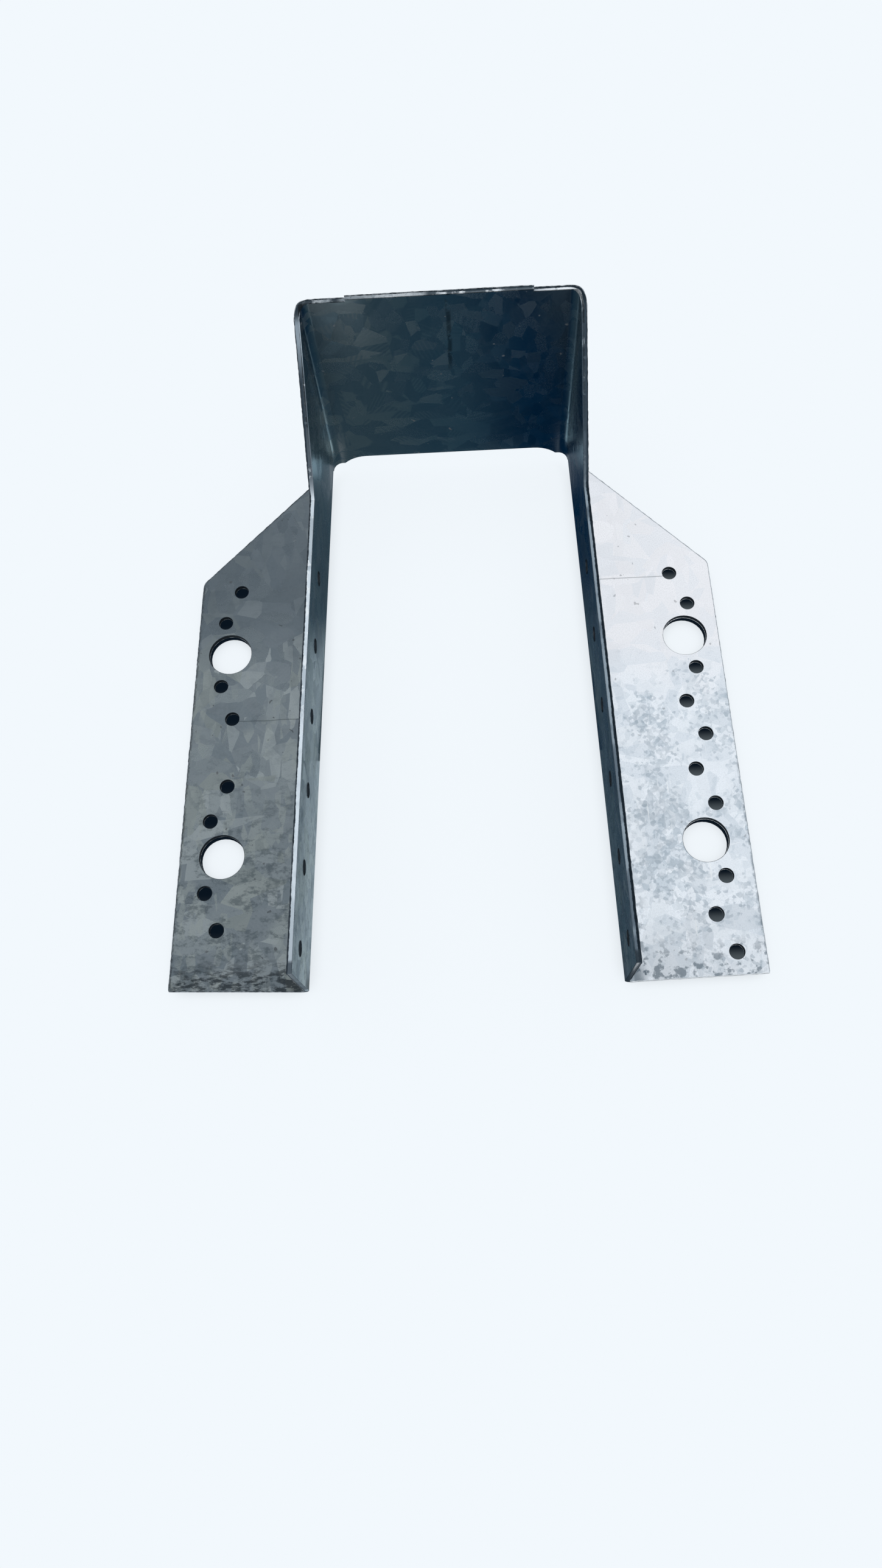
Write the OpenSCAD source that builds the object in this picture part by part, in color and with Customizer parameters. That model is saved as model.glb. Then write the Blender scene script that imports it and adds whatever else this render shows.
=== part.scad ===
// Truss hanger: a U of folded galvanised sheet that carries the end of a truss or beam.
// The seat lies across the bottom, a leg stands at each side of it, and the rear edge of each
// leg is folded outward into a flange that is nailed and bolted to the header.
// X runs across the hanger, the header stands on the +Y side, and Z is up.

/* [Sheet] */
// Thickness of the sheet
sheet_t = 1.6; // [1:0.1:2.5]
// Inside radius of the folds between the seat and the legs
seat_fold_r = 3.5; // [2:0.5:6]
// Inside radius of the folds between the legs and the flanges
flange_fold_r = 2; // [1:0.5:4]

/* [Seat] */
// Clear width between the legs at the seat
clear_w = 90; // [60:1:150]
// Depth of the seat, from the header to its front edge
seat_d = 86; // [70:1:110]
// How far the middle of the front edge stands proud
lip_out = 0.8; // [0.2:0.1:3]
// Distance from each fold to that proud middle
lip_inset = 11.5; // [4:0.5:20]
// Gap between the header and the rear corners of the seat
corner_gap = 1.8; // [0.6:0.1:4]
// How far the middle of the rear edge lies in front of its corners
seat_recess = 3.7; // [0.5:0.1:6]
// Radius where the rear edge sweeps back at each side
recess_r = 11.5; // [8:0.5:20]
// Straight stretch of the rear edge between each sweep and its fold
corner_flat = 1; // [0.5:0.5:4]

/* [Legs] */
// Height of the legs above the seat
leg_h = 204; // [180:1:260]
// Angle that each leg springs open from upright
leg_lean = 1.8; // [0:0.1:4]
// Height at which the front edge of a leg changes slope
knee_h = 41; // [25:1:60]
// Depth of a leg at that height
knee_d = 39; // [34:1:60]
// Depth of a leg at its top
top_d = 36; // [30:1:50]

/* [Flanges] */
// Width of a flange, from the outside of the leg
flange_w = 45.5; // [40:0.5:60]
// Height at which the sloping lower edge would meet the inside of the leg
slope_foot_h = 1; // [0:0.5:2]
// Height of the outer end of the sloping lower edge
slope_top_h = 52; // [35:1:55]
// Radius of the corner at that end
corner_r = 4; // [1:0.5:8]

/* [Holes] */
// Diameter of the nail holes
nail_hole_d = 5; // [3:0.1:6]
// Diameter of the bolt holes
bolt_hole_d = 15.5; // [10:0.5:16]
// Height of the lowest nail hole in a flange
first_hole_h = 55.6; // [54:0.2:60]
// Distance from the highest nail hole in a flange to the top
flange_end_gap = 7.6; // [6:0.2:16]
// Distance from the leg to the inner column of holes
inner_column = 31; // [24:0.5:33]
// Distance from the leg to the outer column of holes
outer_column = 36; // [34:0.5:40]
// Distance from the leg to the lower bolt hole
low_bolt_column = 33.5; // [26:0.5:34]
// Height of the lowest nail hole in a leg
first_leg_hole_h = 63; // [50:1:70]
// Distance from the highest nail hole in a leg to the top
leg_end_gap = 10; // [6:0.5:30]
// Distance from the header to the nail holes in a leg
leg_hole_depth = 23.5; // [12:0.5:28]
// Number of nail holes in a leg
leg_hole_count = 6; // [1:1:6]

/* [Hidden] */
$fn = 64;
cut_over = 1;
// The foot of a leg laps its fold, and stands a hair outside it so that no faces lie on each other
leg_lap = 0.1;
leg_set = 0.02;
seat_fold_out = seat_fold_r + sheet_t;
flange_fold_out = flange_fold_r + sheet_t;
flat_half = clear_w / 2 - seat_fold_r;
flange_edge = sheet_t + flange_w;
total_d = seat_d + lip_out;
slope_angle = atan2(slope_top_h - slope_foot_h, flange_edge);
corner_back = corner_r * tan((90 - slope_angle) / 2);
rear_mid = corner_gap + seat_recess;
recess_run = sqrt(recess_r * recess_r - pow(recess_r - seat_recess, 2));
recess_half = flat_half - corner_flat - recess_run;
lip_half = flat_half - lip_inset;
corner_steps = 8;
// Steps up the flange, counted from the lowest hole
inner_steps = [0, 4, 6, 10];
outer_steps = [1, 3, 5, 7, 9, 11];
short_outer_steps = [1, 3, 7, 9];
top_step = 11;
low_bolt_step = 2;
high_bolt_step = 8;
hole_pitch = (leg_h - flange_end_gap - first_hole_h) / top_step;
leg_hole_pitch = (leg_h - leg_end_gap - first_leg_hole_h) / max(1, leg_hole_count - 1);

function hole_h(step) = first_hole_h + step * hole_pitch;

// Places its children on the +X leg: x from the inside of the leg, z up the leaning leg
module on_leg() {
    translate([clear_w / 2 + leg_set, 0, seat_fold_r])
        rotate([0, leg_lean, 0])
            translate([0, 0, -seat_fold_r])
                children();
}

// A hole through the sheet of a flange, at a distance from the outside of the leg
module flange_hole(d, out, h) {
    translate([sheet_t + out, cut_over, h])
        rotate([90, 0, 0])
            cylinder(d = d, h = sheet_t + 2 * cut_over);
}

module flange_holes(steps_out) {
    for (step = inner_steps)
        flange_hole(nail_hole_d, inner_column, hole_h(step));
    for (step = steps_out)
        flange_hole(nail_hole_d, outer_column, hole_h(step));
    flange_hole(bolt_hole_d, low_bolt_column, hole_h(low_bolt_step));
    flange_hole(bolt_hole_d, inner_column, hole_h(high_bolt_step));
}

module leg_holes() {
    for (i = [0 : leg_hole_count - 1])
        translate([-cut_over, -leg_hole_depth, first_leg_hole_h + i * leg_hole_pitch])
            rotate([0, 90, 0])
                cylinder(d = nail_hole_d, h = sheet_t + 2 * cut_over);
}

// Section of a leg and its flange, seen from above
module leg_section() {
    translate([0, -seat_d])
        square([sheet_t, seat_d - flange_fold_out]);
    translate([flange_fold_out, -flange_fold_out])
        intersection() {
            difference() {
                circle(r = flange_fold_out);
                circle(r = flange_fold_r);
            }
            translate([-flange_fold_out, 0])
                square(flange_fold_out);
        }
    translate([flange_fold_out, -sheet_t])
        square([flange_edge - flange_fold_out, sheet_t]);
}

// What is left of the flange's face above its sloping lower edge, with the round corner
module flange_outline() {
    corner = [
        for (i = [0 : corner_steps])
            let (a = (slope_angle - 90) * (1 - i / corner_steps))
            [flange_edge - corner_r + corner_r * cos(a), slope_top_h + corner_back + corner_r * sin(a)]
    ];
    polygon(concat(
        [[-cut_over, slope_foot_h - cut_over * tan(slope_angle)]],
        corner,
        [[flange_edge, leg_h], [-cut_over, leg_h]]
    ));
}

module leg(steps_out) {
    on_leg()
        difference() {
            intersection() {
                translate([0, 0, seat_fold_r - leg_lap])
                    linear_extrude(leg_h - seat_fold_r + leg_lap)
                        leg_section();
                translate([0, cut_over, 0])
                    rotate([90, 0, 0])
                        linear_extrude(seat_d + 2 * cut_over)
                            flange_outline();
            }
            flange_holes(steps_out);
            leg_holes();
        }
}

// Section of the fold between the seat and the +X leg, seen from the front
module fold_section() {
    translate([flat_half, seat_fold_r])
        intersection() {
            difference() {
                circle(r = seat_fold_out);
                circle(r = seat_fold_r);
            }
            translate([0, -seat_fold_out])
                square(seat_fold_out);
        }
}

// Section of the seat with both of its folds
module seat_section() {
    translate([-flat_half, -sheet_t])
        square([2 * flat_half, sheet_t]);
    fold_section();
    mirror([1, 0])
        fold_section();
}

// What is cut from the rear edge of the seat between its corners
module recess_plan() {
    translate([-recess_half, -rear_mid])
        square([2 * recess_half, rear_mid]);
    for (side = [-1, 1])
        translate([side * recess_half, recess_r - rear_mid])
            circle(r = recess_r);
}

// What is cut from the front edge of the seat at each side of its lip
module lip_notches() {
    for (side = [0, 1])
        mirror([side, 0, 0])
            translate([lip_half, -total_d - cut_over, -sheet_t - cut_over])
                cube([clear_w, lip_out + cut_over, seat_fold_out + 2 * cut_over]);
}

module seat() {
    difference() {
        translate([0, -corner_gap, 0])
            rotate([90, 0, 0])
                linear_extrude(total_d - corner_gap)
                    seat_section();
        translate([0, 0, -sheet_t - cut_over])
            linear_extrude(sheet_t + 2 * cut_over)
                recess_plan();
        lip_notches();
    }
}

// The space in front of the legs that the shears took away
module front_cut() {
    rotate([90, 0, 90])
        linear_extrude(2 * clear_w, center = true)
            polygon([
                [-seat_d, 0],
                [-knee_d, knee_h],
                [-top_d, leg_h + cut_over],
                [-2 * seat_d, leg_h + cut_over],
                [-2 * seat_d, 0]
            ]);
}

module hanger() {
    color("silver")
        translate([0, total_d / 2, sheet_t])
            difference() {
                union() {
                    seat();
                    leg(short_outer_steps);
                    mirror([1, 0, 0])
                        leg(outer_steps);
                }
                front_cut();
            }
}

hanger();
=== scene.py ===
# %% [markdown]
# # Truss hanger
# A truss hanger is one strip of galvanised sheet, punched, sheared and folded into a U. The seat carries
# the end of a truss, and the two flanges are nailed and bolted to the header behind it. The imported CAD
# model already has the true shape, so this lesson keeps every size of it and adds what CAD leaves out:
# the zinc and its crystals, the torn look of a sheared edge, the burr of a punched hole, and wear.

# %% Load the frame
import math

import bmesh
import bpy
from mathutils import Matrix, Vector
from mathutils.kdtree import KDTree


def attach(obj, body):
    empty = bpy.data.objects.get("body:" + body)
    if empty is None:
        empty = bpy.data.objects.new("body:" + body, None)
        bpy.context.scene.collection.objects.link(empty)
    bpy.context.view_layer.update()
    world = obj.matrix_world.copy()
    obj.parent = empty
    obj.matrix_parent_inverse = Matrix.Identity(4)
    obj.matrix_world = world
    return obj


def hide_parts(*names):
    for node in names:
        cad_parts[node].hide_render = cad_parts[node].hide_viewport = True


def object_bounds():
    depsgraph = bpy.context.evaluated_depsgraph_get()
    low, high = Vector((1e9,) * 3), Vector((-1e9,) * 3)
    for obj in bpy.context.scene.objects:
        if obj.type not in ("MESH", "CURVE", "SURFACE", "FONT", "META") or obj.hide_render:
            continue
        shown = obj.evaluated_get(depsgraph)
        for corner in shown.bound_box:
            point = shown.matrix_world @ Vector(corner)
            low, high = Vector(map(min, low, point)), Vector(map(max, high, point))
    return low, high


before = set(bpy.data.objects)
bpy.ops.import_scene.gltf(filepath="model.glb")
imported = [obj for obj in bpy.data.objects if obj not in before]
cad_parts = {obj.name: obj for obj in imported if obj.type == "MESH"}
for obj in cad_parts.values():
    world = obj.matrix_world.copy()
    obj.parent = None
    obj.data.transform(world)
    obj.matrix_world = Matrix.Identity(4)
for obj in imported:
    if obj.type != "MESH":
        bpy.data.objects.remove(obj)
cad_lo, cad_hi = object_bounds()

MM = 0.001
PER_M = 1000


def in_mm(corner):
    """A corner of a box in millimetres, to print."""
    return [round(v / MM, 1) for v in corner]


print("CAD box in mm:", in_mm(cad_lo), in_mm(cad_hi))

# %% [markdown]
# ## Camera
# The hanger was photographed lying on the backs of its flanges, from its open end, with a wide phone lens
# close by. The object stands upright in this frame, so the camera is the one that is turned: it looks in
# over the leg ends with the seat at the top of the picture. A camera can be set by eye, but its place,
# direction and focal length were found here by fitting the corners and holes of the model to the picture,
# because the same fit gives the proportions of the model.

# %% Make the camera
IMAGE_H = 2576
FOCAL_PX = 1839.6
SENSOR_MM = 36
NEAREST = 10 * MM
eye = Vector((-8.43, -324.83, 264.38)) * MM
forward = Vector((0.03865, 0.9423, -0.33254)).normalized()
right = Vector((-0.99852, 0.04914, 0.02319))
right = (right - forward * right.dot(forward)).normalized()
back = -forward
up = back.cross(right)

camera_data = bpy.data.cameras.new("camera")
camera_data.sensor_width = SENSOR_MM
camera_data.lens = FOCAL_PX / IMAGE_H * SENSOR_MM
camera_data.clip_start = NEAREST
camera = bpy.data.objects.new("camera", camera_data)
camera.matrix_world = Matrix((
    (right.x, up.x, back.x, eye.x),
    (right.y, up.y, back.y, eye.y),
    (right.z, up.z, back.z, eye.z),
    (0, 0, 0, 1),
))
bpy.context.scene.collection.objects.link(camera)
bpy.context.scene.camera = camera
print("lens in mm:", round(camera_data.lens, 2))

# %% [markdown]
# ## Node maths
# A material is a graph, and a graph is hard to read in code. The class below wraps one output socket, so
# that sums such as 1 - mask can be written as sums. Each operator adds a Math node, and one method adds
# any other node. It serves shader trees and geometry trees alike.

# %% Wrap sockets
MIX_FIRST, MIX_SECOND, MIX_RESULT = 6, 7, 2


class Wire:
    """One output socket of a node tree. Arithmetic on it adds Math nodes."""

    def __init__(self, tree, socket=None):
        self.tree = tree
        self.socket = socket

    def node(self, kind, settings=None, sockets=None, out=0):
        """Adds a node of a type, sets its settings first, then fills its sockets by name or number."""
        made = self.tree.nodes.new(kind)
        for name, value in (settings or {}).items():
            setattr(made, name, value)
        for key, value in (sockets or {}).items():
            if isinstance(value, Wire):
                self.tree.links.new(value.socket, made.inputs[key])
            else:
                made.inputs[key].default_value = value
        return Wire(self.tree, made.outputs[out] if made.outputs else None)

    def also(self, out):
        """Another output of the same node."""
        return Wire(self.tree, self.socket.node.outputs[out])

    def math(self, operation, *values):
        """A Math node on wires and numbers."""
        return self.node("ShaderNodeMath", {"operation": operation}, dict(enumerate(values)))

    def __add__(self, other):
        return self.math("ADD", self, other)

    __radd__ = __add__

    def __sub__(self, other):
        return self.math("SUBTRACT", self, other)

    def __rsub__(self, other):
        return self.math("SUBTRACT", other, self)

    def __mul__(self, other):
        return self.math("MULTIPLY", self, other)

    __rmul__ = __mul__

    def __abs__(self):
        return self.math("ABSOLUTE", self)

    def larger(self, other):
        """The larger of this and another."""
        return self.math("MAXIMUM", self, other)

    def smaller(self, other):
        """The smaller of this and another."""
        return self.math("MINIMUM", self, other)

    def rise(self, low, high):
        """0 below low, 1 above high, and a smooth step between; it falls where low is above high."""
        start, end, first, last = (low, high, 0.0, 1.0) if low < high else (high, low, 1.0, 0.0)
        return self.node(
            "ShaderNodeMapRange",
            {"interpolation_type": "SMOOTHSTEP"},
            {0: self, 1: start, 2: end, 3: first, 4: last},
        )

    def blend(self, first, second):
        """Mixes two colours, with this wire as the factor."""
        first = first if isinstance(first, Wire) else (*first, 1)
        second = second if isinstance(second, Wire) else (*second, 1)
        return self.node(
            "ShaderNodeMix", {"data_type": "RGBA"},
            {0: self, MIX_FIRST: first, MIX_SECOND: second}, out=MIX_RESULT,
        )

    def vector(self, operation, *values):
        """Vector Math on this wire and others; a plain number goes to the Scale socket."""
        sockets = {0: self}
        for place, value in enumerate(values, 1):
            sockets["Scale" if operation == "SCALE" else place] = value
        return self.node("ShaderNodeVectorMath", {"operation": operation}, sockets)


def new_material(name):
    """A new empty material, and a wire to start its nodes from."""
    material = bpy.data.materials.new(name)
    material.use_nodes = True
    material.node_tree.nodes.clear()
    return material, Wire(material.node_tree)


def millimetres(wires):
    """Where a point is, in millimetres: across, deep and up."""
    place = wires.node("ShaderNodeTexCoord", out="Object")
    axis = wires.node("ShaderNodeSeparateXYZ", None, {0: place})
    return [axis.also(number) * PER_M for number in range(3)]


print("wires ready")

# %% [markdown]
# ## Background
# The photograph has a plain pale background with a breath of blue. It could be a brightly lit backdrop,
# but that would light the metal as well. So the world gives that colour to camera, glossy and transmitted
# rays, which the metal mirrors, and a softer fill to the rest.

# %% Make the world
PALE = (0.888, 0.939, 0.982)
FILL = 0.8

scene = bpy.context.scene
scene.view_settings.view_transform = "Standard"
world = bpy.data.worlds.new("studio")
scene.world = world
world.use_nodes = True
world.node_tree.nodes.clear()


def seen_rays(wires):
    """1 for the rays that show a background: straight, mirrored or through glass."""
    ray = wires.node("ShaderNodeLightPath", out="Is Camera Ray")
    return ray.larger(ray.also("Is Glossy Ray")).larger(ray.also("Is Transmission Ray"))


w = Wire(world.node_tree)
soft_fill = w.node("ShaderNodeBackground", None, {0: (*PALE, 1), 1: FILL})
shown = w.node("ShaderNodeBackground", None, {0: (*PALE, 1), 1: 1.0})
mixed = w.node("ShaderNodeMixShader", None, {0: seen_rays(w), 1: soft_fill, 2: shown})
w.node("ShaderNodeOutputWorld", None, {0: mixed})
print("world fill", FILL)

# %% [markdown]
# ## Tabletop
# The tabletop is the plane that the flanges lie on, just behind their backs. It has the colour of the
# background. A patch around the hanger is darkened where the hanger stands close to it, which keeps a
# weak contact shadow. Seen from behind, the tabletop lets the eye pass, so that the back of the hanger can
# be looked at too.

# %% Make the tabletop
TABLE_GAP = 3.0 * MM
TABLE_HALF = 3.0
TABLE_PAINT = (0.85, 0.87, 0.9)
PATCH_RIM = 70 * MM
PATCH_STEP = 0.3 * MM
NEAR, NEAR_SAMPLES, NEAR_DEPTH = 9 * MM, 12, 0.24
FAR, FAR_SAMPLES, FAR_DEPTH = 60 * MM, 8, 0.06
CONTACT_SHADE = (0.006, 0.012, 0.02)


def seen_from_front(wires, front):
    """Ends a stage material: a shader on its front, and nothing at all from behind."""
    clear = wires.node("ShaderNodeBsdfTransparent")
    behind = wires.node("ShaderNodeNewGeometry", out="Backfacing")
    mixed = wires.node("ShaderNodeMixShader", None, {0: behind, 1: front, 2: clear})
    wires.node("ShaderNodeOutputMaterial", None, {0: mixed})


def openness(wires, distance, samples):
    """1 where nothing is within a distance, and less the more there is."""
    return wires.node("ShaderNodeAmbientOcclusion", {"samples": samples}, {"Distance": distance}, out="AO")


def table_material(name, shaded):
    """The pale table. A shaded one darkens where the hanger is close to it."""
    material, t = new_material(name)
    colour = (*PALE, 1)
    if shaded:
        camera_ray = t.node("ShaderNodeLightPath", out="Is Camera Ray")
        contact = openness(t, NEAR, NEAR_SAMPLES).rise(0.2, 0.8) * NEAR_DEPTH + (1 - NEAR_DEPTH)
        soft = openness(t, FAR, FAR_SAMPLES) * FAR_DEPTH + (1 - FAR_DEPTH)
        colour = (contact * soft * camera_ray + (1 - camera_ray)).blend(CONTACT_SHADE, PALE)
    glow = t.node("ShaderNodeEmission", None, {0: colour, 1: 1.0})
    paint = t.node("ShaderNodeBsdfDiffuse", None, {0: (*TABLE_PAINT, 1)})
    seen_from_front(t, t.node("ShaderNodeMixShader", None, {0: seen_rays(t), 1: paint, 2: glow}))
    return material


def plate(name, corners, material, faces=None):
    """A flat stage plate from its corners, in order, or several plates where faces lists them."""
    mesh = bpy.data.meshes.new(name)
    mesh.from_pydata([Vector(c) for c in corners], [], faces or [tuple(range(len(corners)))])
    made = bpy.data.objects.new(name, mesh)
    mesh.materials.append(material)
    scene.collection.objects.link(made)
    return made


def upright(name, left, right, low, high, y, material, toward_front=True, flare=0.0):
    """An upright plate at a depth y, facing the front or the back. Its top is wider by the flare."""
    corners = [(left, y, low), (right, y, low), (right + flare, y, high), (left - flare, y, high)]
    return plate(name, corners if toward_front else corners[::-1], material)


table_y = cad_hi.y + TABLE_GAP
upright(
    "tabletop", -TABLE_HALF, TABLE_HALF, -TABLE_HALF, TABLE_HALF, table_y + PATCH_STEP,
    table_material("pale_tabletop", False),
)
upright(
    "contact_patch", cad_lo.x - PATCH_RIM, cad_hi.x + PATCH_RIM, cad_lo.z - PATCH_RIM,
    cad_hi.z + PATCH_RIM, table_y, table_material("shaded_tabletop", True),
)
print("tabletop at y in mm", round(table_y / MM, 1))

# %% [markdown]
# ## Light
# Bare metal shows what it mirrors, so a photographer lights it with cards, and so does this scene. The
# pale room already lights the flange on the right of the picture. A grey card out of sight at the lower
# left tones the other flange down, and a dark card behind the U gives the seat and the insides of the legs
# their deep blue grey. It has strips beside the leg tops and pale glows low down, for what the legs and
# the folds mirror there. Two small flags keep the bright flanges from being mirrored in the corners of the
# seat. The last card stands for the dark room behind the camera, which the steep edges of the legs mirror.
# The cards work on reflections alone and from their front alone: they cast no shadow and no camera sees
# them.

# %% Paint the cards
GREY_CARD = (0.7, 0.74, 0.78), (0.265, 0.305, 0.335)
FLAG = (0.002, 0.02, 0.045), (0.03, 0.055, 0.07)
NIGHT = (0.5, 0.54, 0.58), (0.02, 0.03, 0.036)
DARK_MINUS = (0.001, 0.021, 0.056)
DARK_MIDDLE = (0.027, 0.068, 0.105)
DARK_PLUS = (0.046, 0.084, 0.112)
LOW_GLOW = (0.28, 0.32, 0.36)
FOLD_GLOW = (0.44, 0.62, 0.72)
STRIP_MINUS = (0.045, 0.08, 0.11)
STRIP_PLUS = (0.33, 0.41, 0.46)


def grey_card(wires):
    """Grey that pales toward the middle of the picture."""
    x, _, _ = millimetres(wires)
    return x.rise(-20, 80).blend(*GREY_CARD)


def dark_card(wires):
    """Deep blue grey, with glows low down and a strip beside each leg top."""
    x, _, up = millimetres(wires)
    dark = x.rise(0, 35).blend(x.rise(-35, 0).blend(DARK_MINUS, DARK_MIDDLE), DARK_PLUS)
    low_glow = abs(x).rise(40.5, 43.5) * up.rise(22, 0)
    dark = (low_glow * (x.rise(-10, 10) * 0.25 + 0.55)).blend(dark, LOW_GLOW)
    fold_glow = abs(x).rise(36, 33) * up.rise(7, 2) * up.rise(-14, -8)
    dark = fold_glow.blend(dark, FOLD_GLOW)
    dark = (x.rise(-36, -42) * up.rise(30, 90)).blend(dark, STRIP_MINUS)
    return (x.rise(36, 42) * up.rise(62, 90)).blend(dark, STRIP_PLUS)


def flag(wires):
    """Nearly black, a little lighter on one side."""
    x, _, _ = millimetres(wires)
    return x.rise(-10, 10).blend(*FLAG)


def night_card(wires):
    """The dark room, which pales downward."""
    _, _, up = millimetres(wires)
    return up.rise(160, 260).blend(*NIGHT)


print("card tones ready")

# %% Hang the cards
GREY_Y = -430 * MM
NIGHT_Y = -420 * MM
DARK_Y = table_y - 0.4 * MM
FLAG_Y = cad_hi.y - 2.4 * MM


def card(name, across, heights, y, build, toward_front=True, flare=0.0):
    """A card that only reflections see, from its front. across, heights and flare are in mm."""
    material, wires = new_material(name)
    seen_from_front(wires, wires.node("ShaderNodeEmission", None, {0: build(wires), 1: 1.0}))
    sides = [value * MM for value in (*across, *heights)]
    made = upright(name, *sides, y, material, toward_front, flare * MM)
    made.visible_camera = False
    made.visible_shadow = False
    made.visible_diffuse = False
    made.visible_transmission = False
    return made


card("grey_card", (-20, 900), (-600, 700), GREY_Y, grey_card, toward_front=False)
card("dark_card", (-49, 49), (-30, 220), DARK_Y, dark_card, flare=7)
card("flag_one", (47, 80), (20, 125), FLAG_Y, flag)
card("flag_two", (-80, -47), (20, 125), FLAG_Y, flag)
card("night_card", (-240, 220), (160, 800), NIGHT_Y, night_card, toward_front=False)

# %% [markdown]
# One large soft lamp adds direction. It is weak, because the room already gives most of the light.

# %% Hang the lamp
LAMP_SIDE = 1.2
LAMP_WATTS = 6
LAMP_AT = Vector((-1.1, -1.0, 0.9))
LAMP_AIM = Vector((0, 0, 0.1))

lamp_data = bpy.data.lights.new("softbox", "AREA")
lamp_data.shape = "RECTANGLE"
lamp_data.size = LAMP_SIDE
lamp_data.size_y = LAMP_SIDE
lamp_data.energy = LAMP_WATTS
lamp = bpy.data.objects.new("softbox", lamp_data)
lamp.location = LAMP_AT
lamp.rotation_mode = "QUATERNION"
lamp.rotation_quaternion = (LAMP_AIM - LAMP_AT).to_track_quat("-Z", "Y")
lamp.visible_camera = False
scene.collection.objects.link(lamp)
print("lamp in watts", LAMP_WATTS)

# %% [markdown]
# ## The folded sheet
# The hanger is one sheet, so it stays one mesh. It could be rebuilt from plates and bends, but the CAD
# mesh already has each fold and hole in its place. That mesh is loose triangles, so a copy is merged into
# one skin and its flat triangles are joined. The sheet then has two smooth skins, one that starts on top
# of the seat and one that starts below it, and everything between them is a cut: a sheared edge or a
# punched hole. Following smooth neighbours from face to face finds the two skins.

# %% Merge the CAD mesh and find its skins
MERGE = 0.04 * MM
FLAT_DEG = 0.4
SMOOTH_DEG = 35

sheet = bmesh.new()
sheet.from_mesh(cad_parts["hanger"].data)
cut_layer = sheet.faces.layers.float.new("cut")
skin_layer = sheet.verts.layers.float.new("skin")
bmesh.ops.remove_doubles(sheet, verts=sheet.verts, dist=MERGE)
bmesh.ops.dissolve_limit(sheet, angle_limit=math.radians(FLAT_DEG), verts=sheet.verts, edges=sheet.edges)
sheet.normal_update()


def area_of(faces):
    """The area of some faces together."""
    return sum(f.calc_area() for f in faces)


def smooth_patches(mesh, limit):
    """Lists the groups of faces that meet each other smoothly, the largest first."""
    left = dict.fromkeys(mesh.faces)
    groups = []
    while left:
        group = [left.popitem()[0]]
        for face in group:
            for edge in face.edges:
                for other in edge.link_faces:
                    if other in left and edge.calc_face_angle(math.tau) < limit:
                        del left[other]
                        group.append(other)
        groups.append(group)
    return sorted(groups, key=area_of, reverse=True)


patches = smooth_patches(sheet, math.radians(SMOOTH_DEG))
print("faces", len(sheet.faces), "patches", len(patches))

# %% Tell skins, punched holes and sheared edges apart
SHEARED, PUNCHED, CHAMFER = 1.0, 2.0, 0.6
CM2 = 1e-4
SKIN_AREA = 20 * CM2
ROUND_SHARE = 0.05
HAIRLINE = 0.1 * MM


def facing(patch):
    """The normals of a patch added up by area. Round a hole they cancel."""
    return sum((f.normal * f.calc_area() for f in patch), Vector())


def mean_width(patch):
    """The area of a patch over the diagonal of its box."""
    points = [v.co for f in patch for v in f.verts]
    low, high = (Vector([pick(p[i] for p in points) for i in range(3)]) for pick in (min, max))
    return area_of(patch) / (high - low).length


inner_faces, outer_faces, holes, sheared = set(), set(), [], 0
for patch in patches:
    toward = facing(patch)
    if area_of(patch) > SKIN_AREA:
        (inner_faces if toward.y + toward.z > 0 else outer_faces).update(patch)
    elif toward.length < ROUND_SHARE * area_of(patch):
        for face in patch:
            face[cut_layer] = PUNCHED
        holes.append(patch)
    elif mean_width(patch) > HAIRLINE:
        for face in patch:
            face[cut_layer] = SHEARED
        sheared += 1
print("skin in cm2:", [round(area_of(faces) / CM2, 1) for faces in (inner_faces, outer_faces)])
print("punched holes", len(holes), "sheared edges", sheared)

# %% Measure where the punch came out
exits = []
for patch in holes:
    rim = dict.fromkeys(v for f in patch for v in f.verts if any(g in inner_faces for g in v.link_faces))
    centre = sum((v.co for v in rim), Vector()) / len(rim)
    away = next(g.normal for v in rim for g in v.link_faces if g in inner_faces).copy()
    exits.append((centre, away, sum((v.co - centre).length for v in rim) / len(rim)))
print("hole radii in mm", sorted({round(radius / MM, 1) for _, _, radius in exits}))

# %% [markdown]
# ## The gap behind the holes
# Between a flange and the table there is a narrow dark gap, and the holes show it. Real shade would need a
# darker table, which the pale background rules out. So small dark plates stand close behind the flanges: a
# disc behind each nail hole, and a thin ring behind each bolt hole, which shows the table through its
# middle. They belong to the stage, not to the hanger, and can't be seen from behind.

# %% Shade the gap behind the holes
NAIL_MAX = 4 * MM
TO_TABLE = 0.9
SHADE_BACK = 0.6 * MM
SHADE_RIM = 0.6 * MM
SHADE_SIDES = 32
BOLT_LAP = 0.1 * MM
BOLT_SHIFT = Vector((0.45, 0, 0.7)) * MM
DIM_SHARE, DIM_SHIFT = 0.3, -0.7
GAP_DARK = (0.003, 0.007, 0.013)
GAP_LIT = (0.065, 0.08, 0.09)

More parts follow.
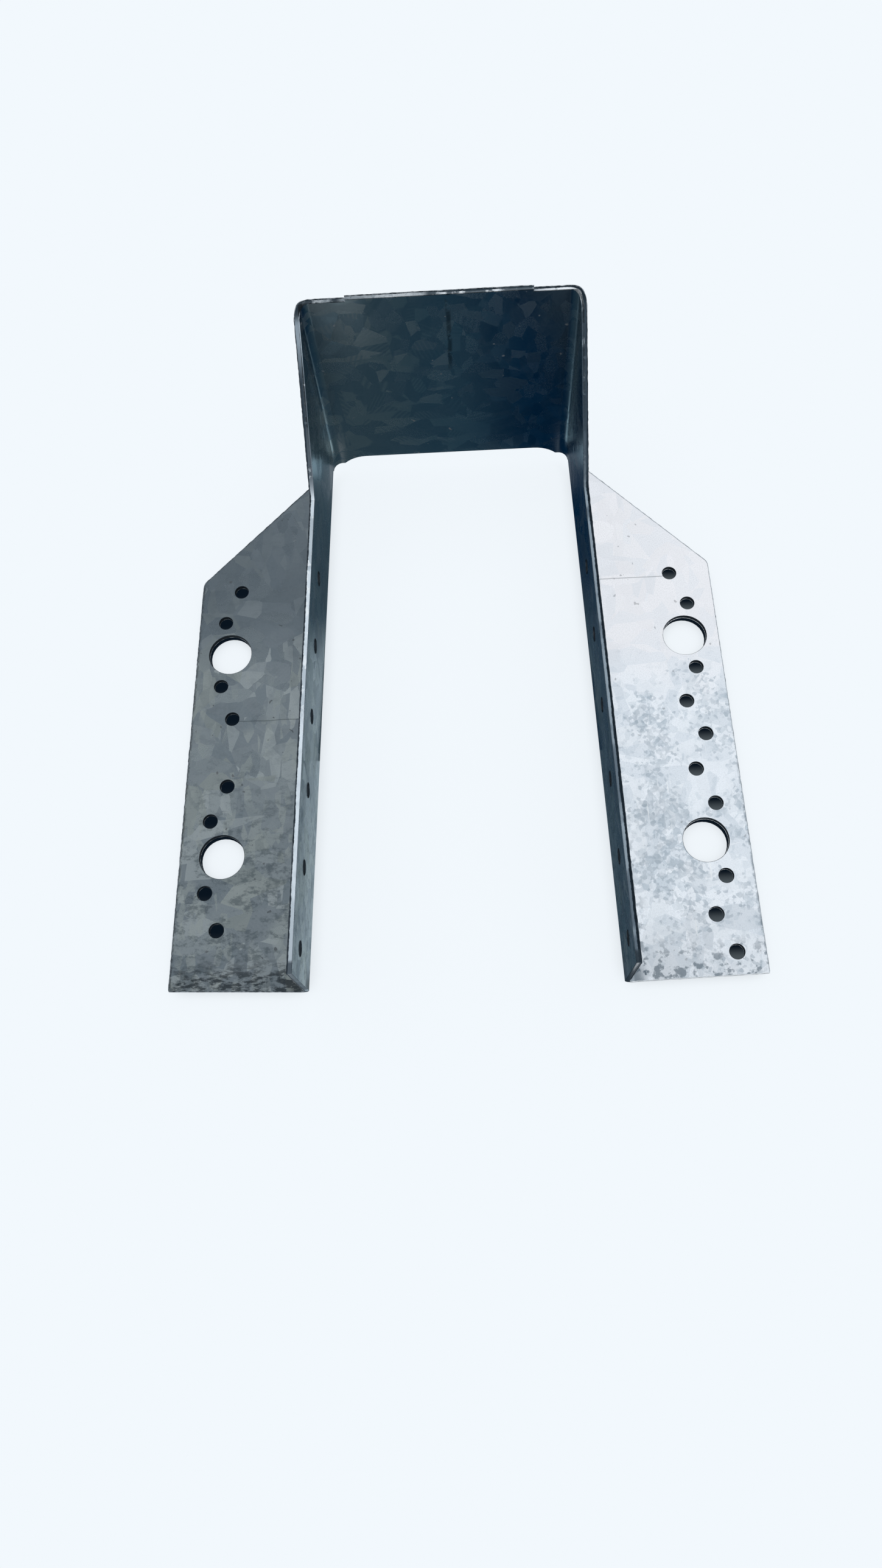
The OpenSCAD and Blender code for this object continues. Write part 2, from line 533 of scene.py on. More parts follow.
spokes = [math.tau * step / SHADE_SIDES for step in range(SHADE_SIDES)]
spokes = [Vector((math.cos(turn), 0, math.sin(turn))) for turn in spokes]
corners, faces, lit = [], [], []
for centre, away, radius in exits:
    if away.y < TO_TABLE:
        continue
    outer = len(corners)
    middle = centre + away * SHADE_BACK
    corners += [middle + spoke * (radius + SHADE_RIM) for spoke in spokes]
    if radius < NAIL_MAX:
        lit += [s.z if centre.x < 0 else s.z * DIM_SHARE + DIM_SHIFT for s in spokes]
        faces.append(tuple(range(outer, outer + SHADE_SIDES)))
    else:
        inner = len(corners)
        shift = Vector((math.copysign(BOLT_SHIFT.x, -centre.x), 0, BOLT_SHIFT.z))
        corners += [middle + shift + spoke * (radius - BOLT_LAP) for spoke in spokes]
        lit += [-1.0] * (2 * SHADE_SIDES)
        for step in range(SHADE_SIDES):
            after = (step + 1) % SHADE_SIDES
            faces.append((outer + step, outer + after, inner + after, inner + step))

gap_material, s = new_material("gap_shade")
light_side = s.node("ShaderNodeAttribute", {"attribute_name": "lit"}, out="Fac")
gap_tone = light_side.rise(-0.75, 0.6).blend(GAP_DARK, GAP_LIT)
seen_from_front(s, s.node("ShaderNodeEmission", None, {0: gap_tone, 1: 1.0}))
gap = plate("gap_shade", corners, gap_material, faces)
gap.data.attributes.new("lit", "FLOAT", "POINT").data.foreach_set("value", lit)
gap.visible_shadow = False
gap.visible_diffuse = False
print("shade plates", len(faces))

# %% [markdown]
# ## Cuts and their chamfers
# A cut edge is never quite sharp, and the small chamfer on it catches the light. Each point remembers
# which skin it lies on, so that the material knows how deep into a cut a place is. A chamfer could be a
# Bevel modifier, but here the new faces also have to be marked as part of the cut. Last, the shading
# normals are weighed by area, which keeps the flats flat right up to the folds.

# %% Mark the cuts and chamfer them
CHAMFER_SIZE = 0.14 * MM
RIM_DEG = 60
SLIVER = 0.004 * MM

memory = KDTree(len(sheet.verts))
side_of = []
for number, point in enumerate(sheet.verts):
    memory.insert(point.co, number)
    side_of.append(1.0 if any(f in outer_faces for f in point.link_faces) else 0.0)
memory.balance()

rims = [
    e for e in sheet.edges
    if len(e.link_faces) == 2
    and min(f[cut_layer] for f in e.link_faces) == 0
    and max(f[cut_layer] for f in e.link_faces) > 0
    and e.calc_face_angle() > math.radians(RIM_DEG)
]
shear_paths = [
    (e.verts[0].co.copy(), e.verts[1].co.copy())
    for e in rims
    if any(f in outer_faces for f in e.link_faces) and max(f[cut_layer] for f in e.link_faces) == SHEARED
]
made = bmesh.ops.bevel(
    sheet, geom=rims, offset=CHAMFER_SIZE, offset_type="OFFSET", segments=1,
    profile=0.5, affect="EDGES", clamp_overlap=False, loop_slide=True, material=-1,
)
new_faces = set(made["faces"])
for face in new_faces:
    beside = {g[cut_layer] for e in face.edges for g in e.link_faces if g not in new_faces}
    face[cut_layer] = PUNCHED if PUNCHED in beside else CHAMFER
bmesh.ops.dissolve_degenerate(sheet, edges=sheet.edges, dist=SLIVER)
for point in sheet.verts:
    point[skin_layer] = side_of[memory.find(point.co)[1]]
print("rim edges", len(rims), "faces after the chamfer", len(sheet.faces))

# %% Make the sheet an object
STEADY_DEG = 30

hanger_mesh = bpy.data.meshes.new("hanger_sheet")
sheet.to_mesh(hanger_mesh)
sheet.free()
hanger_mesh.shade_smooth()


def steady_normals(mesh, limit):
    """Gives each corner the mean normal of the near-parallel faces around it, weighed by their area."""
    around = [[] for _ in mesh.vertices]
    for face in mesh.polygons:
        for number in face.vertices:
            around[number].append(face)
    normals = []
    for face in mesh.polygons:
        for number in face.vertices:
            near = [g for g in around[number] if g.normal.dot(face.normal) > math.cos(limit)]
            normals.append(sum((g.normal * g.area for g in near), Vector()).normalized())
    mesh.normals_split_custom_set(normals)
    return len(normals)


print("corners", steady_normals(hanger_mesh, math.radians(STEADY_DEG)))
hanger = bpy.data.objects.new("hanger_sheet", hanger_mesh)
scene.collection.objects.link(hanger)

# %% [markdown]
# ## Galvanised zinc
# Hot zinc freezes on the sheet into flat crystals, the spangle. Neighbouring crystals lie at different
# angles, so each is a shade lighter or darker and mirrors the room a little differently. It could be a
# picture wrapped round the sheet, but a pattern worked out from the place in the metal has no seams and
# runs over the folds. Voronoi cells of a few sizes give the patches and leaves, fine lines inside the
# large cells give the feathered growth of the crystals, and a small tilt of the normal in each makes the
# reflections step from patch to patch.

# %% Start the zinc material
zinc, z = new_material("galvanised_zinc")
place = z.node("ShaderNodeTexCoord", out="Object")
x, y, h = millimetres(z)
cut = z.node("ShaderNodeAttribute", {"attribute_name": "cut"}, out="Fac")
skin = z.node("ShaderNodeAttribute", {"attribute_name": "skin"}, out="Fac")


def noise(scale, detail=3.0, rough=0.55, stretch=None, out="Fac"):
    """Noise of about scale features in a millimetre, stretched along an axis where that is given."""
    at = place if stretch is None else z.node("ShaderNodeMapping", None, {0: place, "Scale": stretch})
    return z.node(
        "ShaderNodeTexNoise", None,
        {"Vector": at, "Scale": scale * PER_M, "Detail": detail, "Roughness": rough}, out=out,
    )


def cells(size_mm, at):
    """A random colour for each crystal of about that size."""
    return z.node(
        "ShaderNodeTexVoronoi", {"feature": "F1"},
        {"Vector": at, "Scale": PER_M / size_mm, "Randomness": 1.0}, out="Color",
    )


def numbers_of(colour):
    """The three random numbers in a colour, as three outputs."""
    return z.node("ShaderNodeSeparateColor", None, {0: colour})


print("noise and cells ready")

# %% Grow the spangle
MID_COLOUR = (0.5, 0.5, 0.5)
SHAKE = 0.5 * MM
LARGE_MM, LEAF_ONE_MM, LEAF_TWO_MM = 12.0, 5.0, 4.2
LEANING = {"Rotation": (0.5, 0.35, 0.8), "Scale": (0.5, 1.25, 0.9)}
CROSSING = {"Rotation": (-0.7, 0.9, 0.2), "Scale": (1.2, 0.7, 0.5)}
FEATHER_TURNS = 5200

shake = noise(0.2, 1, 0.5, out="Color").vector("SUBTRACT", MID_COLOUR).vector("SCALE", SHAKE)
bent = place.vector("ADD", shake)
leaning = z.node("ShaderNodeMapping", None, {0: bent, **LEANING})
crossing = z.node("ShaderNodeMapping", None, {0: bent, **CROSSING})
large = cells(LARGE_MM, bent)
large_patch = numbers_of(large)
leaf_one = numbers_of(cells(LEAF_ONE_MM, leaning))
leaf_two = numbers_of(cells(LEAF_TWO_MM, crossing))
growth = large.vector("SUBTRACT", MID_COLOUR).vector("NORMALIZE")
along = z.node("ShaderNodeVectorMath", {"operation": "DOT_PRODUCT"}, {0: growth, 1: bent}, out="Value")
feather = z.math("SINE", along * FEATHER_TURNS) * 0.5 + 0.5
which = large_patch.also(1).rise(0.48, 0.52)
leaf = leaf_one * (1 - which) + leaf_two * which
leaf_gloss = leaf_one.also(2) * (1 - which) + leaf_two.also(2) * which
spangle = large_patch * 0.36 + leaf * 0.54 + feather * 0.1
print("spangle nodes", len(zinc.node_tree.nodes))

# %% [markdown]
# ## Where things happen
# Wear, and the light and shade painted into the colour, are not the same all over. These could be painted
# on by hand, but masks made from plain positions in millimetres are easier to change. They say which part
# of the hanger a place belongs to: the seat, a leg, or one of the flanges.

# %% Make the masks
on_seat = h.rise(6, 2.5)
on_flange = y.rise(38.5, 40.2) * (1 - on_seat)
plus_side = x.rise(-2, 2)
minus_side = 1 - plus_side
bright_flange = on_flange * minus_side
grey_flange = on_flange * plus_side
grain = noise(2.2, 4, 0.6)
broad = noise(0.018, 3, 0.5)
print("mask nodes", len(zinc.node_tree.nodes))

# %% [markdown]
# ## Colour of the zinc
# Each region has its own light and dark tones, and on the bright flange, inside the U and on the cuts part
# of that is painted light and shade, as told below. Most of the sheet shows large patches with pale and
# dark leaves, some of them a warm green grey. It is darker in its lower half, and grime lies on it higher
# up.

# %% Mix the dull zinc
GROUND = (0.45, 0.49, 0.52), (0.55, 0.585, 0.60)
PALE_LEAF = (0.79, 0.82, 0.805)
DARK_LEAF = (0.36, 0.42, 0.46)
WARM_PATCH = (0.655, 0.68, 0.62)
SMALL_LEAF = (0.765, 0.79, 0.74)
SMALL_LEAF_MM = 2.6
LOWER_GREY = (0.26, 0.30, 0.335)
GRIME = (0.185, 0.22, 0.24)

sheet_tone = (large_patch * 0.5 + feather * 0.1 + broad * 0.6).rise(0.2, 0.9).blend(*GROUND)
pale_leaf = leaf.rise(0.58, 0.62) * (leaf_gloss * 0.7 + 0.22)
sheet_tone = pale_leaf.blend(sheet_tone, PALE_LEAF)
dark_leaf = leaf.rise(0.2, 0.17) * leaf_gloss
sheet_tone = (dark_leaf * 0.5).blend(sheet_tone, DARK_LEAF)
warm_patch = large_patch.also(2).rise(0.7, 0.74) * leaf_gloss.rise(0.3, 0.36)
sheet_tone = (warm_patch * 0.55).blend(sheet_tone, WARM_PATCH)
shard = numbers_of(cells(SMALL_LEAF_MM, crossing))
small_leaf = shard.rise(0.72, 0.77) * h.rise(60, 120) * noise(0.05, 2, 0.5).rise(0.4, 0.55)
sheet_tone = (small_leaf * 0.55).blend(sheet_tone, SMALL_LEAF)
sheet_tone = (h.rise(100, 56) * 0.72).blend(sheet_tone, LOWER_GREY)
grime = noise(0.3, 6, 0.75, (0.6, 1.0, 1.0)).rise(0.48, 0.62) * (h.rise(112, 165) * 0.75 + 0.25)
sheet_tone = (grime * 0.65).blend(sheet_tone, GRIME)
print("dull zinc nodes", len(zinc.node_tree.nodes))

# %% [markdown]
# One flange is far brighter than the other: partly its own bright zinc, partly painted light. It has
# little spangle near the seat, where it is a warm white, and blue grey flakes and specks toward the leg
# end.

# %% Mix the bright flange
BRIGHT = (0.945, 0.92, 0.93), (0.90, 0.922, 0.955)
BRIGHT_LEAF = (0.78, 0.815, 0.86)
FLAKE = (0.51, 0.58, 0.64)
FLAKE_MM = 2.4
SPECK = (0.34, 0.41, 0.47)
SPECK_MM = 1.1

from_middle = (h + broad * 30).rise(96, 122)
# painted light: the bright flange's tone is far lighter than the other flange's, partly its own zinc and
# partly painted light
bright_tone = from_middle.blend(*BRIGHT)
bright_leaf = leaf.rise(0.45, 0.3) * (from_middle * 0.55 + 0.3)
bright_tone = bright_leaf.blend(bright_tone, BRIGHT_LEAF)
speck_area = noise(0.065, 3, 0.55).rise(0.36, 0.66) * from_middle * (h.rise(200, 165) * 0.6 + 0.4)
flake = numbers_of(cells(FLAKE_MM, bent))
flakes = flake.rise(0.3, 0.9) * speck_area * 0.55 + flake.also(1).rise(0.8, 0.84) * from_middle * 0.25
bright_tone = flakes.blend(bright_tone, FLAKE)
tiny = numbers_of(cells(SPECK_MM, bent))
specks = (tiny + speck_area * 0.75).rise(1.0, 1.12)
bright_tone = (specks * (tiny.also(1) * 0.35 + 0.1)).blend(bright_tone, SPECK)
print("bright flange nodes", len(zinc.node_tree.nodes))

# %% [markdown]
# Inside the U, the top of the seat and the feet of the legs are painted a darker blue grey than the rest:
# painted shade over their own plain mid grey spangle. The seat is painted lighter and warmer on one side,
# as painted light, and darker in the front corners, as painted shade. The dark card does the rest there.

# %% Mix the seat and join the regions
SEAT_DARK = (0.365, 0.425, 0.45)
SEAT_LIGHT = (0.45, 0.505, 0.525), (0.555, 0.555, 0.53)
SEAT_CORNER_SHADE = (0.17, 0.22, 0.26), (0.22, 0.28, 0.31)
LEG_FOOT_SHADE = (0.20, 0.255, 0.30), (0.36, 0.425, 0.465)
GRAIN = (0.25, 0.28, 0.30)

# painted shade and light: the seat gets a darker blue grey copy of the zinc, lighter and warmer on the
# plus side
seat_tone = spangle.rise(0.45, 0.6).blend(SEAT_DARK, x.rise(-30, 20).blend(*SEAT_LIGHT))
front_corner_shade = (abs(x) - y * 0.4).rise(33, 52)
# painted shade in the front corners of the seat
seat_tone = (front_corner_shade * 0.5).blend(seat_tone, plus_side.blend(*SEAT_CORNER_SHADE))
# the inside of the U, where the zinc is painted darker as shade
shaded_inside = on_seat.larger(h.rise(52, 18) * y.rise(40, 36)) * (1 - skin)
tone = shaded_inside.blend(sheet_tone, seat_tone)
# painted shade on the feet of the legs inside the U, lighter on the plus leg as painted light
leg_foot_shade = shaded_inside * (1 - on_seat)
tone = (leg_foot_shade * 0.6).blend(tone, plus_side.blend(*LEG_FOOT_SHADE))
# the bright flange's tone, partly painted light, is laid over the rest
tone = bright_flange.blend(tone, bright_tone)
tone = (grain.rise(0.4, 0.7) * 0.12).blend(tone, GRAIN)
print("colour nodes", len(zinc.node_tree.nodes))

# %% [markdown]
# ## Dirt, scratches and painted edge shade
# The leg ends were dragged over concrete and timber: dark rubbed marks lie along them, finer than a
# millimetre across and stretched along the end. Dirt also sits in the corner of each flange fold at the
# leg end, and a broken dark line of painted shade runs along the outer edges of the flanges. Stretched
# noise, held to a band along an edge, gives such marks without drawing any of them.

# %% Rub dirt into the ends and paint shade along the edges
LEAN = 0.0314
FOLD_AT_FOOT = 47
EDGE_AT_FOOT = 92.1
MOST_DIRT_AND_SHADE = 0.92
DIRT_AND_EDGE_SHADE = (0.11, 0.155, 0.195), (0.045, 0.058, 0.068)

from_axis = abs(x) - h * LEAN
rub = noise(0.55, 5, 0.7, (0.35, 1.0, 1.0)).rise(0.45, 0.56)
beside_leg = (from_axis - FOLD_AT_FOOT).rise(9, 3) * h.rise(140, 170) * 0.8
smudge = noise(0.32, 4, 0.62).rise(0.52, 0.61) * beside_leg.larger(h.rise(188, 201))
dirt_and_edge_shade = grey_flange * h.rise(192, 201) * (rub * 0.85 + 0.05) + bright_flange * smudge * 0.7
outer_gap = EDGE_AT_FOOT + h * LEAN - abs(x)
# painted shade: a broken dark line along the outer edges, all along one flange and toward the leg end on
# the other
edge_shade_band = outer_gap.rise(1.1, 0.35) * (grey_flange + bright_flange * h.rise(110, 150) * 0.8)
dirt_and_edge_shade = dirt_and_edge_shade + edge_shade_band * noise(0.35, 4, 0.65).rise(0.42, 0.56) * 0.7
dirt_and_edge_shade = dirt_and_edge_shade + h.rise(197, 204) * from_axis.rise(54, 49) * y.rise(30, 37) * 0.75
# the dirt and the painted edge shade darken the colour together, lighter on the bright flange
tone = dirt_and_edge_shade.smaller(MOST_DIRT_AND_SHADE).blend(tone, plus_side.blend(*DIRT_AND_EDGE_SHADE))
print("dirt nodes", len(zinc.node_tree.nodes))

# %% [markdown]
# A few light scratches run up the bright flange, two thin scribed lines cross the flanges at a row of
# holes, a dark crease runs into the seat from its front lip, and small dark spots lie all over.

# %% Scratch and spot the sheet
SCRATCH = (0.93, 0.94, 0.95)
SCRIBED = (0.06, 0.08, 0.09)
SPOT = (0.1, 0.11, 0.12)

hair = noise(1.4, 2, 0.5, (1.0, 1.0, 0.035)).rise(0.655, 0.70)
hair_area = noise(0.05, 2, 0.5).rise(0.52, 0.62) * h.rise(110, 140)
tone = (hair * hair_area * bright_flange).blend(tone, SCRATCH)


def scribed(height, inner, outer):
    """A thin line across a flange at a height, from the leg out to a hole."""
    off = abs(h - height + noise(0.08) * 1.2 - 0.6)
    return off.rise(0.28, 0.08) * abs(x).rise(inner, inner + 2) * abs(x).rise(outer, outer - 2)


lines = scribed(108.4, 51, 80) * grey_flange + scribed(57.2, 50, 78) * bright_flange
off_crease = abs(x + 2.5 + noise(0.15) * 2 - 1)
crease = off_crease.rise(1.1, 0.3) * y.rise(-2, -16) * noise(0.3, 3, 0.6).rise(0.36, 0.50)
tone = (lines * 0.45 + crease * on_seat * 0.65).blend(tone, SCRIBED)
spots = noise(0.42, 1, 0.5).rise(0.765, 0.78)
tone = (spots * (0.8 - bright_flange * 0.45)).blend(tone, SPOT)
print("mark nodes", len(zinc.node_tree.nodes))

# %% [markdown]
# ## Sheared edges
# A shear first slices the sheet and leaves a smooth bright band, then tears the rest and leaves it dull
# and dark. The border between the two is ragged. It could be modelled, but it is only tenths of a
# millimetre deep. The skin value runs from 0 to 1 through the thickness of a cut, so a wavering limit on
# it draws that border all along the edge. Off the seat, one leg's sliced band is painted light, with
# bright sparks of painted highlight, and the other leg's is painted shade.

# %% Slice and tear the cuts
BRIGHT_SLICE = (0.90, 0.92, 0.94), (0.66, 0.69, 0.72)
SHADED_SLICE = (0.32, 0.38, 0.43), (0.15, 0.19, 0.23)
LIT_LEG_SLICE = (0.74, 0.80, 0.85), (0.53, 0.59, 0.64)
NICK = (0.40, 0.45, 0.49)
PAINTED_GLINT = (0.90, 0.93, 0.95)
TORN = (0.02, 0.032, 0.044), (0.06, 0.075, 0.09)

waver = noise(0.7, 4, 0.65) * 0.55 + noise(0.1, 2, 0.5) * 0.45
tear_from = waver * 0.9 + 0.12 + plus_side * 0.3
torn = (skin - tear_from).rise(-0.05, 0.05)
dull = noise(0.045, 3, 0.6).rise(0.45, 0.55)
nicks = noise(0.6, 3, 0.6).rise(0.54, 0.62)
bright_slice = (nicks * 0.6).blend(dull.blend(*BRIGHT_SLICE), NICK)
# painted highlight: bright sparks on one leg's sliced band, fading out toward the leg end
painted_glints = noise(0.4, 3, 0.6, (1.0, 1.0, 0.6)).rise(0.55, 0.62) * h.rise(150, 90)
lit_leg_slice = (painted_glints * 0.9).blend(dull.blend(*LIT_LEG_SLICE), PAINTED_GLINT)
# off the seat, the sliced band is painted shade on one leg and painted light on the other
sliced = on_seat.blend(plus_side.blend(dull.blend(*SHADED_SLICE), lit_leg_slice), bright_slice)
edge_tone = torn.blend(sliced, plus_side.blend(*TORN))
print("cut nodes", len(zinc.node_tree.nodes))

# %% [markdown]
# The cut isn't the same all along. It is painted dark on the foot of each leg, as painted shade, it is
# dark at the leg ends and on parts of the front lip, and it has a painted glint where one leg meets its
# fold.
# The walls of the punched holes are painted darkest, as painted shade in the holes.

# %% Darken the cuts in places
FOOT_CUT_SHADE = (0.07, 0.10, 0.13)
FOLD_GLINT = (0.62, 0.72, 0.80)
END_DARK = (0.06, 0.08, 0.10)
END_DARKER = (0.04, 0.055, 0.07)
LIP_DARK = (0.05, 0.075, 0.095)
HOLE_WALL_SHADE = (0.03, 0.036, 0.042)

broken = noise(0.25, 4, 0.6)
# painted shade on the cut at the foot of each leg, broken up by noise
shaded_foot_cut = h.rise(45, 36) * (1 - on_seat)
edge_tone = (shaded_foot_cut * broken.rise(0.68, 0.58) * 0.85).blend(edge_tone, FOOT_CUT_SHADE)
glint = h.rise(18, 8) * (1 - on_seat) * plus_side
edge_tone = (glint * 0.7).blend(edge_tone, FOLD_GLINT)
end_cut = h.rise(201, 202.5)
edge_tone = (end_cut * broken.rise(0.72, 0.56) * 0.9).blend(edge_tone, END_DARK)
edge_tone = (end_cut * minus_side * 0.7).blend(edge_tone, END_DARKER)
lip_light = x.rise(3, 6) * x.rise(33, 30) + x.rise(-29, -32) * 0.9
lip_dark = on_seat * (1 - lip_light) * broken.rise(0.6, 0.5)
edge_tone = (lip_dark * 0.9).blend(edge_tone, LIP_DARK)
is_cut = cut.rise(0.2, 0.5)
is_hole = cut.rise(1.4, 1.6)
# painted shade: the walls of the punched holes are painted near black
tone = is_hole.blend(is_cut.blend(tone, edge_tone), HOLE_WALL_SHADE)
print("edge nodes", len(zinc.node_tree.nodes))

# %% [markdown]
# ## Gloss and relief
# Fresh zinc is glossy, and each crystal a little differently. Dirt, specks and torn metal are duller. A
# sheared edge is rolled over a little, so on one leg its normal leans. The relief is less than a tenth of
# a millimetre deep, so a bump is enough for it.

# %% Set roughness, metal and relief
BASE_ROUGH, MOST_ROUGH = 0.2, 0.8
LEAST_METAL = 0.2
TILT = 0.05
ROLL = -0.34
BUMP_STRENGTH = 0.25
BUMP_DEPTH = 0.06 * MM
HOLE_DULL = 0.85
SHADED_BARE_STEEL = (0.02, 0.026, 0.032)

rough = BASE_ROUGH + leaf_gloss * 0.14 + grain * 0.08 - bright_flange * 0.03
rough = rough + dirt_and_edge_shade * 0.12 + specks * bright_flange * 0.1 + is_cut * torn * 0.3 - shaded_inside * 0.07
metal = 1 - dirt_and_edge_shade * 0.2 - spots * 0.6
tilt = large.vector("SUBTRACT", MID_COLOUR).vector("SCALE", TILT)
rolled = z.node("ShaderNodeCombineXYZ", None, {0: is_cut * plus_side * h.rise(36, 44) * ROLL})
normal = z.node("ShaderNodeNewGeometry", out="Normal").vector("ADD", tilt).vector("ADD", rolled)
relief = grain * 0.5 + feather * 0.15 + noise(0.05, 2, 0.5) * 3 + is_cut * torn * waver * 3
bump = z.node("ShaderNodeBump", None, {
    "Strength": BUMP_STRENGTH,
    "Distance": BUMP_DEPTH,
    "Height": relief,
    "Normal": normal.vector("NORMALIZE"),
})
coated = z.node("ShaderNodeBsdfPrincipled", None, {
    "Base Color": tone,
    "Roughness": rough.smaller(MOST_ROUGH),
    "Metallic": metal.larger(LEAST_METAL),
    "Normal": bump,
})
# the hole walls are mostly a dull near black shader: bare steel, painted dark as shade in the holes
shaded_bare = z.node("ShaderNodeBsdfDiffuse", None, {0: (*SHADED_BARE_STEEL, 1)})
shader = z.node("ShaderNodeMixShader", None, {0: is_hole * HOLE_DULL, 1: coated, 2: shaded_bare})
z.node("ShaderNodeOutputMaterial", None, {0: shader})
hanger_mesh.materials.append(zinc)
print("zinc nodes", len(zinc.node_tree.nodes))

# %% [markdown]
# ## Burrs
# A punch leaves a small ragged collar where it comes out, and a shear leaves a thin ragged lip along the
# edge that it tears. They could be modelled one by one, but both repeat or follow a path, so Geometry
# Nodes make them. The first tree puts a ring on a point for each hole, and the second draws a bead along
# the sheared edges. Noise with a fixed seed makes both uneven. Torn metal is dark and grainy; it is
# painted lighter on the bright flange, as painted light, and darkest along the legs, as painted shade.

# %% Make the burr metal
BURR_GRAIN = 700.0
BURR = (0.09, 0.105, 0.12), (0.42, 0.45, 0.48)
LIT_BURR = (0.86, 0.88, 0.90)
SHADED_LEG_BURR = (0.02, 0.032, 0.045)

burr_metal, b = new_material("torn_burr")
burr_grain = b.node("ShaderNodeTexNoise", None, {
    "Vector": b.node("ShaderNodeTexCoord", out="Object"), "Scale": BURR_GRAIN, "Detail": 3.0,
})
burr_x, burr_y, burr_h = millimetres(b)
burr_lit_flange = burr_x.rise(-46, -50) * burr_y.rise(37, 39)
burr_shaded_leg = burr_y.rise(37, 35) * burr_h.rise(4, 8)
burr_tone = burr_grain.rise(0.4, 0.62).blend(*BURR)
# painted light: the burrs on the bright flange are painted lighter
burr_tone = (burr_lit_flange * 0.85).blend(burr_tone, LIT_BURR)
# painted shade: the burrs along the legs are painted near black
burr_tone = (burr_shaded_leg * 0.85).blend(burr_tone, SHADED_LEG_BURR)
burr = b.node("ShaderNodeBsdfPrincipled", None, {
    "Base Color": burr_tone,
    "Roughness": burr_grain * 0.2 + 0.3,
    "Metallic": 1.0,
})
b.node("ShaderNodeOutputMaterial", None, {0: burr})
print("burr nodes", len(burr_metal.node_tree.nodes))

# %% Write what both trees share
BEAD_INPUTS = ["Bead Radius", "Raggedness", "Noise Size", "Seed"]


def geometry_tree(name, labels):
    """A geometry tree with named number inputs. Gives the tree, its input wire and the identifiers."""
    tree = bpy.data.node_groups.new(name, "GeometryNodeTree")
    tree.interface.new_socket("Geometry", in_out="INPUT", socket_type="NodeSocketGeometry")
    tree.interface.new_socket("Geometry", in_out="OUTPUT", socket_type="NodeSocketGeometry")
    keys = {}
    for label in labels:
        made = tree.interface.new_socket(label, in_out="INPUT", socket_type="NodeSocketFloat")
        keys[label] = made.identifier
    return tree, Wire(tree).node("NodeGroupInput"), keys


def bead_along(start, curve, sides, caps=False):
    """A round bead along a curve, made uneven and given the burr metal, as the tree's output."""
    profile = start.node("GeometryNodeCurvePrimitiveCircle", {"mode": "RADIUS"}, {
        "Resolution": sides, "Radius": start.also("Bead Radius"),
    })
    bead = start.node("GeometryNodeCurveToMesh", None, {
        "Curve": curve, "Profile Curve": profile, "Fill Caps": caps,
    })
    field = start.node("ShaderNodeTexNoise", {"noise_dimensions": "4D"}, {
        "W": start.also("Seed"), "Scale": start.also("Noise Size"),
    }, out="Color")
    move = field.vector("SUBTRACT", MID_COLOUR).vector("SCALE", start.also("Raggedness"))
    bead = start.node("GeometryNodeSetPosition", None, {"Geometry": bead, "Offset": move})
    solid = start.node("GeometryNodeRealizeInstances", None, {0: bead})
    coated = start.node("GeometryNodeSetMaterial", None, {"Geometry": solid, "Material": burr_metal})
    start.node("NodeGroupOutput", None, {0: coated})


def bake_tree(name, source, tree, values):
    """Runs a tree on a source mesh and keeps the result as a plain mesh object at the origin."""
    carrier = bpy.data.objects.new(name + "_points", source)
    scene.collection.objects.link(carrier)
    modifier = carrier.modifiers.new(name, "NODES")
    modifier.node_group = tree
    for key, value in values.items():
        modifier[key] = value
    seen_now = bpy.context.evaluated_depsgraph_get()
    mesh = bpy.data.meshes.new_from_object(carrier.evaluated_get(seen_now))
    carrier.modifiers.remove(modifier)
    bpy.data.objects.remove(carrier)
    mesh.name = name
    mesh.shade_smooth()
    piece = bpy.data.objects.new(name, mesh)
    scene.collection.objects.link(piece)
    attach(piece, "root")
    print(name, "faces", len(mesh.polygons))
    return piece


print("inputs of both trees", BEAD_INPUTS)

# %% Ring the punched holes
RING_STEPS, RING_SIDES = 40, 6
RING_OUT = 0.06 * MM

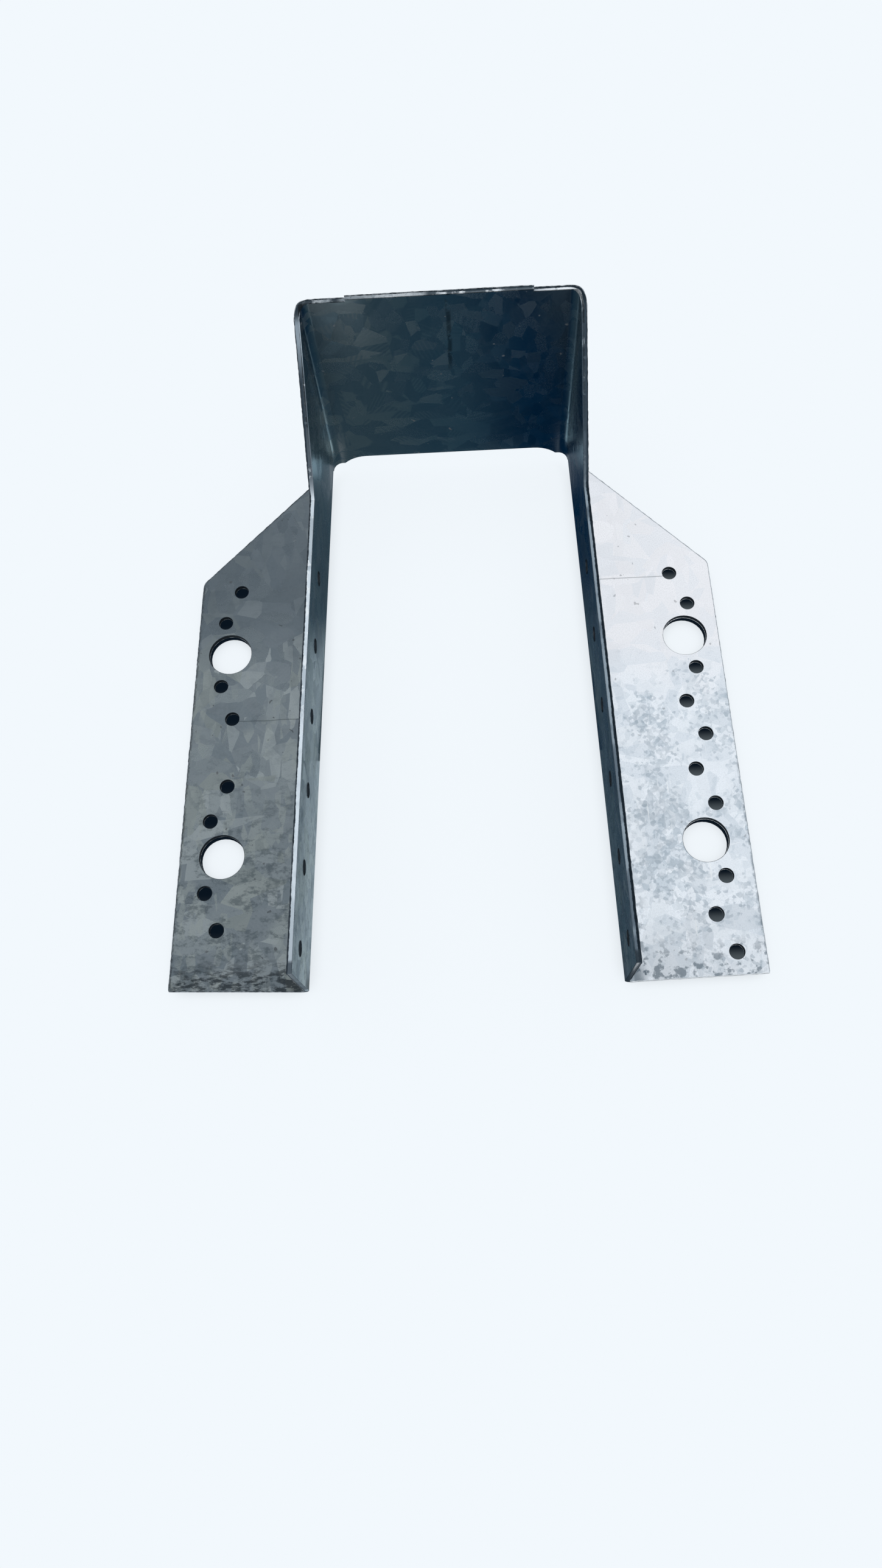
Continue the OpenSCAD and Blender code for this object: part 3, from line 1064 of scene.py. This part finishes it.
ring_tree, g, keys = geometry_tree("punch_collar", BEAD_INPUTS)
ring = g.node("GeometryNodeCurvePrimitiveCircle", {"mode": "RADIUS"}, {
    "Resolution": RING_STEPS, "Radius": 1.0,
})
turn = g.node("GeometryNodeInputNamedAttribute", {"data_type": "FLOAT_VECTOR"}, {"Name": "outward"})
reach = g.node("GeometryNodeInputNamedAttribute", {"data_type": "FLOAT"}, {"Name": "reach"})
aim = g.node("FunctionNodeAlignRotationToVector", {"axis": "Z"}, {"Vector": turn})
rings = g.node("GeometryNodeInstanceOnPoints", None, {
    "Points": g, "Instance": ring, "Rotation": aim, "Scale": reach,
})
bead_along(g, g.node("GeometryNodeRealizeInstances", None, {0: rings}), RING_SIDES)

centres = bpy.data.meshes.new("hole_centres")
centres.from_pydata([c for c, _, _ in exits], [], [])
outward = centres.attributes.new("outward", "FLOAT_VECTOR", "POINT")
outward.data.foreach_set("vector", [v for _, away, _ in exits for v in away])
reach_of = centres.attributes.new("reach", "FLOAT", "POINT")
reach_of.data.foreach_set("value", [radius + RING_OUT for _, _, radius in exits])
bake_tree("punch_collars", centres, ring_tree, {
    keys["Bead Radius"]: 0.11 * MM,
    keys["Raggedness"]: 0.16 * MM,
    keys["Noise Size"]: 900.0,
    keys["Seed"]: 3.0,
})

# %% Draw the lip along the sheared edges
LIP_SIDES = 5
LIP_JOIN = 0.02 * MM

lip_tree, g, keys = geometry_tree("shear_lip", BEAD_INPUTS + ["Step"])
line = g.node("GeometryNodeMeshToCurve", None, {"Mesh": g})
line = g.node("GeometryNodeResampleCurve", {"mode": "LENGTH"}, {"Curve": line, "Length": g.also("Step")})
bead_along(g, line, LIP_SIDES, caps=True)

edges = bmesh.new()
for start, end in shear_paths:
    edges.edges.new((edges.verts.new(start), edges.verts.new(end)))
bmesh.ops.remove_doubles(edges, verts=edges.verts, dist=LIP_JOIN)
outline = bpy.data.meshes.new("sheared_outline")
edges.to_mesh(outline)
edges.free()
bake_tree("shear_lips", outline, lip_tree, {
    keys["Bead Radius"]: 0.15 * MM,
    keys["Step"]: 0.8 * MM,
    keys["Raggedness"]: 0.42 * MM,
    keys["Noise Size"]: 800.0,
    keys["Seed"]: 7.0,
})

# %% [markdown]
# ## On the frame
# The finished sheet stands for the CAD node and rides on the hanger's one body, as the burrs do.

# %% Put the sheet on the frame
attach(hanger, "root")
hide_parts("hanger")
print("sheet faces", len(hanger_mesh.polygons))
